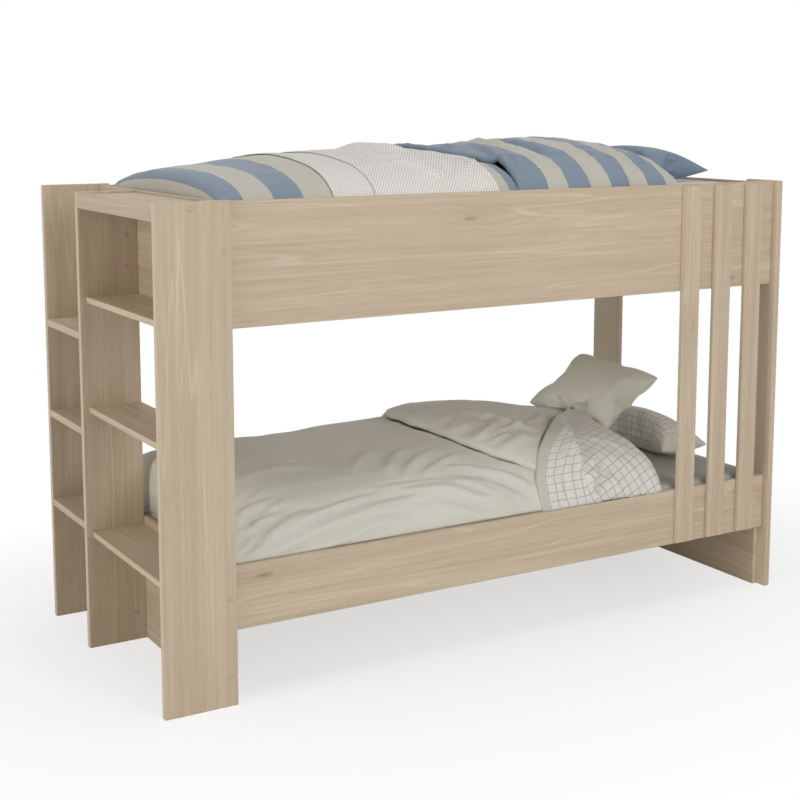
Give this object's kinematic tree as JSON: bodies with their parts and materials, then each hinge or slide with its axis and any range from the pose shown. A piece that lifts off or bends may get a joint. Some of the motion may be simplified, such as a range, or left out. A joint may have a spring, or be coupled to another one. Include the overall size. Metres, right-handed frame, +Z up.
{
  "type": "bunk bed",
  "caption": "Two beds one above the other in flat boards, with a bookcase and a step ladder across the foot end, upright guard slats at the head, both beds made up.",
  "frame": {"origin": "on the floor, at the middle of the bed's length and width", "axes": "+X along the beds towards the head end, the open front with the guard slats faces -Y, +Z up"},
  "size_m": [2.255, 0.985, 1.5701],
  "materials": {
    "greyed_oak": "matt greyed oak, straight grain",
    "pale_pine": "planed softwood",
    "slat_webbing": "woven tape",
    "mattress_ticking": "quilted ticking",
    "white_sheet": "plain weave",
    "grey_sheet": "plain weave",
    "striped_cotton": "plain weave, wide blue and grey-beige stripes",
    "sage_cotton": "plain weave, white with a thin grid on its underside",
    "cream_waffle": "waffle weave",
    "blue_cotton": "plain weave",
    "grid_cotton": "plain weave with a thin dark grid",
    "sage_cushion": "soft weave",
    "zinc_steel": "zinc plated",
    "zinc_casting": "bare die casting",
    "cap_plastic": "wood-coloured moulding",
    "beech_dowel": "fluted hardwood"
  },
  "bodies": {
    "root": {"front_board": "greyed_oak", "middle_board": "greyed_oak", "back_board": "greyed_oak", "low_shelf": "greyed_oak", "mid_shelf": "greyed_oak", "high_shelf": "greyed_oak", "low_step": "greyed_oak", "mid_step": "greyed_oak", "high_step": "greyed_oak", "fascia": "greyed_oak", "top_shelf": "greyed_oak", "lower_foot_board": "greyed_oak", "upper_foot_board": "greyed_oak", "lower_head_board": "greyed_oak", "upper_head_board": "greyed_oak", "front_upper_rail": "greyed_oak", "front_lower_rail": "greyed_oak", "back_upper_rail": "greyed_oak", "back_lower_rail": "greyed_oak", "front_head_post": "greyed_oak", "back_head_post": "greyed_oak", "guard_slat_1": "greyed_oak", "guard_slat_2": "greyed_oak", "guard_slat_3": "greyed_oak", "front_upper_ledger": "pale_pine", "back_upper_ledger": "pale_pine", "front_lower_ledger": "pale_pine", "back_lower_ledger": "pale_pine", "upper_bed_slats": "pale_pine", "lower_bed_slats": "pale_pine", "upper_slat_tapes": "slat_webbing", "lower_slat_tapes": "slat_webbing", "upper_mattress": "mattress_ticking", "lower_mattress": "mattress_ticking", "upper_fitted_sheet": "white_sheet", "lower_fitted_sheet": "grey_sheet", "upper_duvet": "striped_cotton", "lower_duvet": "sage_cotton", "throw": "cream_waffle", "head_pillow": "blue_cotton", "grid_pillow": "grid_cotton", "cushion": "sage_cushion", "connector_bolts": "zinc_steel", "barrel_nuts": "zinc_steel", "cam_bolts": "zinc_steel", "cam_locks": "zinc_casting", "bolt_caps": "cap_plastic", "fascia_dowels": "beech_dowel"}
  },
  "joints": []
}
